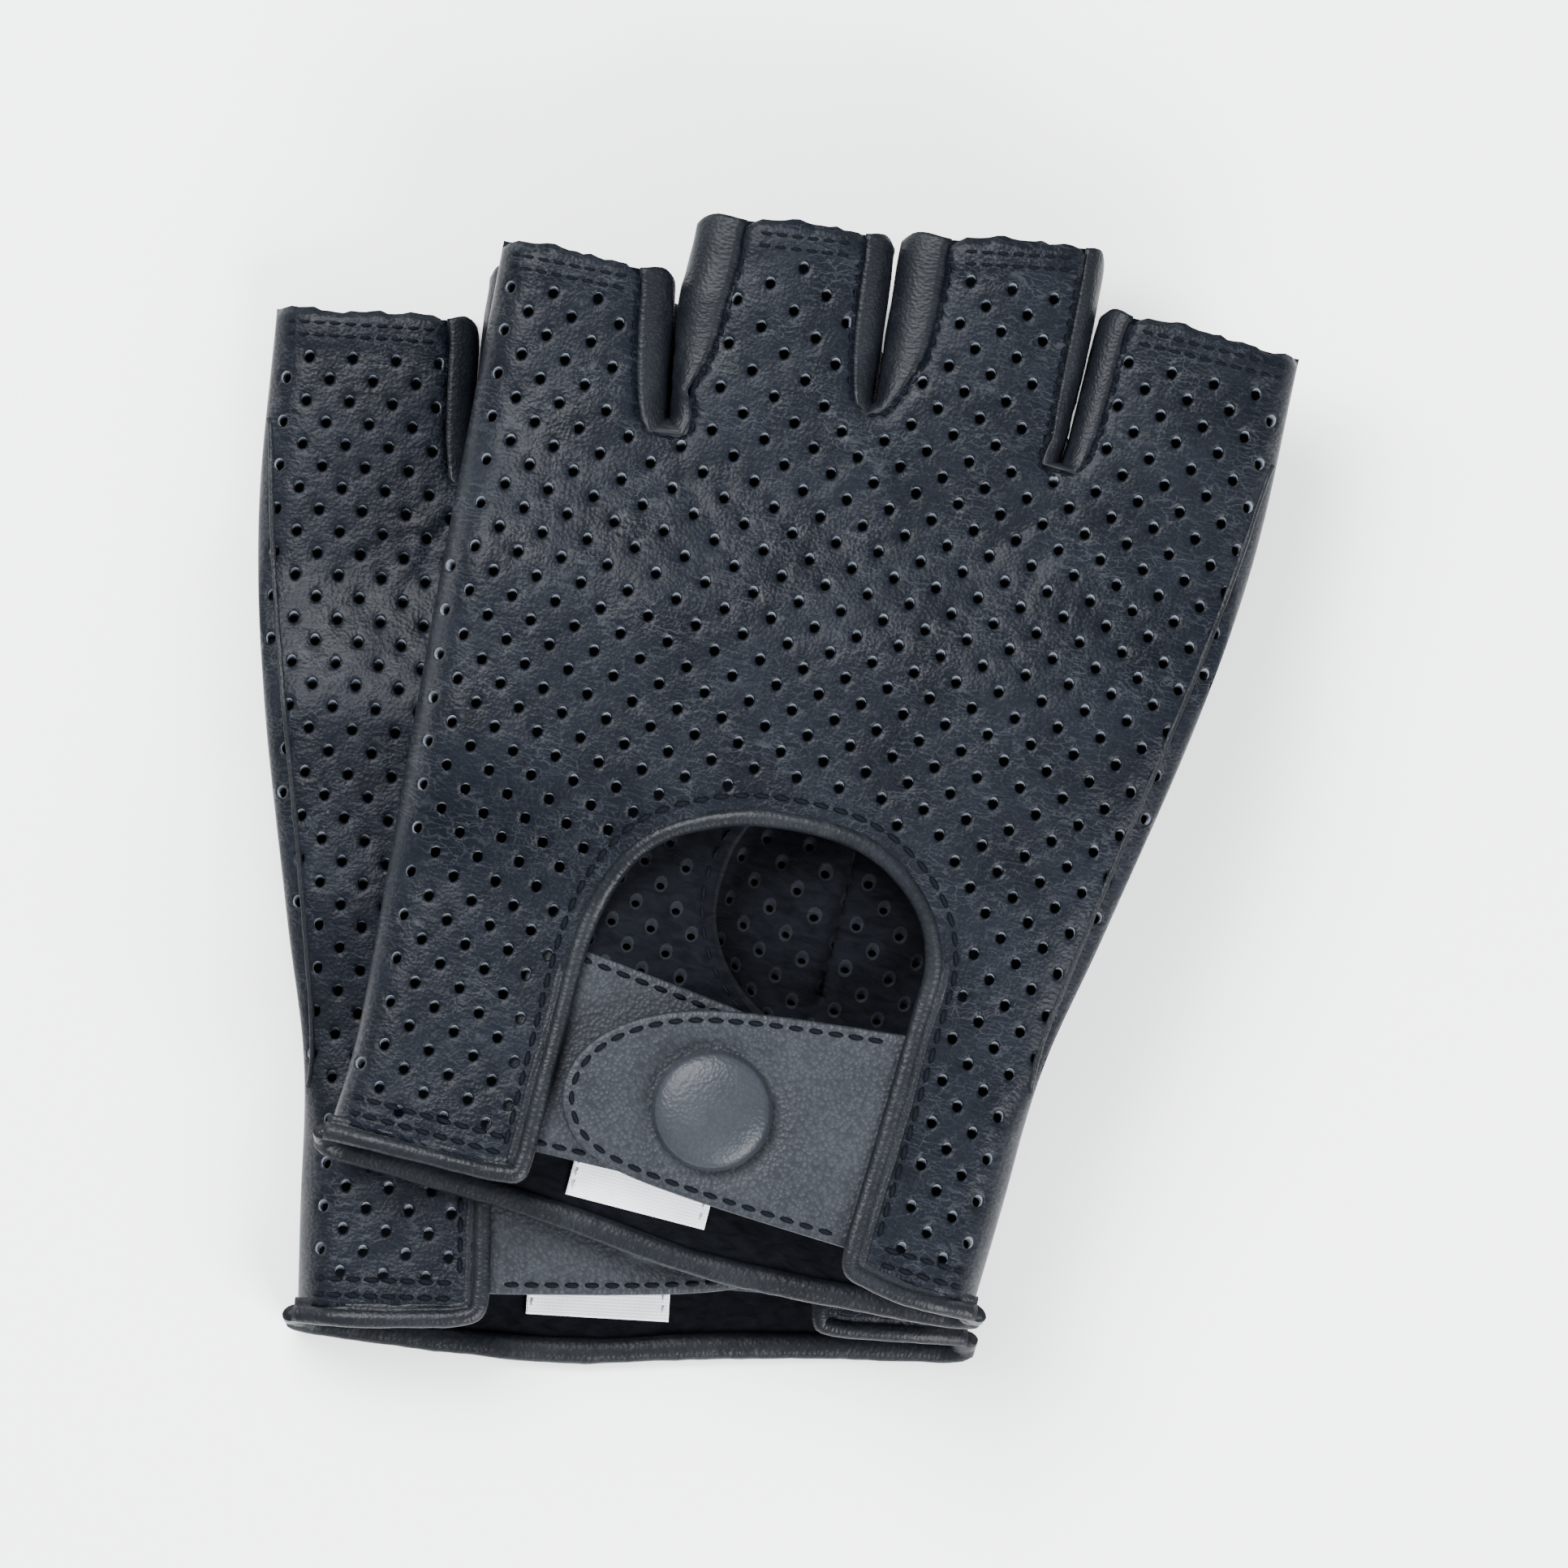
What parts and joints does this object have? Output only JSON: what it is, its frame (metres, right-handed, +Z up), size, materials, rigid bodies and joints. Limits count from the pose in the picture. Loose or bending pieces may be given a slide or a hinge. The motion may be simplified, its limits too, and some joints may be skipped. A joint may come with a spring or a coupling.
{
  "type": "fingerless leather driving gloves",
  "caption": "Pair of perforated black leather fingerless driving gloves, stacked flat, each with an open back, a bound edge, a snap strap at the wrist and a tucked thumb.",
  "frame": {"origin": "centre of the pair's bounding box, at the surface the lower glove lies on", "axes": "+Z up, +Y towards the fingertips, +X towards the index finger of the upper (left-hand) glove"},
  "size_m": [0.1426, 0.1566, 0.0342],
  "materials": {
    "back_leather": "soft grained black leather, punched with small holes",
    "palm_leather": "soft grained black leather, punched with small holes",
    "fourchette_leather": "smooth black leather",
    "binding_leather": "smooth rolled black leather",
    "strap_leather": "pebbled black leather",
    "strap_lining": "black suede",
    "cap_leather": "matt black leather drawn over a cap",
    "snap_metal": "nickel plated",
    "label_fabric": "blank white woven satin"
  },
  "bodies": {
    "right_glove": {"right_back_panel": "back_leather", "right_palm_panel": "palm_leather", "right_fourchette_little_ring": "fourchette_leather", "right_fourchette_ring_middle": "fourchette_leather", "right_fourchette_middle_index": "fourchette_leather", "right_opening_binding": "binding_leather", "right_wrist_binding": "binding_leather", "right_under_strap_outer": "strap_leather", "right_under_strap_lining": "strap_lining", "right_snap_stud": "snap_metal", "right_snap_post": "snap_metal", "right_woven_label": "label_fabric"},
    "right_snap_strap": {"right_snap_strap_outer": "strap_leather", "right_snap_strap_lining": "strap_lining", "right_snap_cap": "cap_leather", "right_snap_socket": "snap_metal"},
    "right_thumb": {"right_thumb_stall": "palm_leather"},
    "left_glove": {"left_back_panel": "back_leather", "left_palm_panel": "palm_leather", "left_fourchette_little_ring": "fourchette_leather", "left_fourchette_ring_middle": "fourchette_leather", "left_fourchette_middle_index": "fourchette_leather", "left_opening_binding": "binding_leather", "left_wrist_binding": "binding_leather", "left_under_strap_outer": "strap_leather", "left_under_strap_lining": "strap_lining", "left_snap_stud": "snap_metal", "left_snap_post": "snap_metal", "left_woven_label": "label_fabric"},
    "left_snap_strap": {"left_snap_strap_outer": "strap_leather", "left_snap_strap_lining": "strap_lining", "left_snap_cap": "cap_leather", "left_snap_socket": "snap_metal"},
    "left_thumb": {"left_thumb_stall": "palm_leather"}
  },
  "joints": [
    {"name": "left_glove_lift", "type": "slide", "parent": "right_glove", "child": "left_glove", "axis": [0, 0, 1], "range_m": [0, 0.12]},
    {"name": "left_snap_strap_fold", "type": "hinge", "parent": "left_glove", "child": "left_snap_strap", "pos_m": [0.01333, -0.04806, 0.0324], "axis": [0.2767, 0.961, 0], "range_deg": [0, 150]},
    {"name": "left_thumb_swing", "type": "hinge", "parent": "left_glove", "child": "left_thumb", "pos_m": [0.01186, -0.01462, 0.021], "axis": [0, 0, -1], "range_deg": [0, 65]},
    {"name": "right_snap_strap_fold", "type": "hinge", "parent": "right_glove", "child": "right_snap_strap", "pos_m": [-0.03894, -0.054, 0.0152], "axis": [-0.0303, -0.9995, 0], "range_deg": [0, 150]},
    {"name": "right_thumb_swing", "type": "hinge", "parent": "right_glove", "child": "right_thumb", "pos_m": [-0.0343, -0.02222, 0.0038], "axis": [0, 0, 1], "range_deg": [0, 65]}
  ],
  "couplings": [
    {"joint": "right_snap_strap_fold", "follows": "left_glove_lift", "rad_per_m": 21.817}
  ]
}
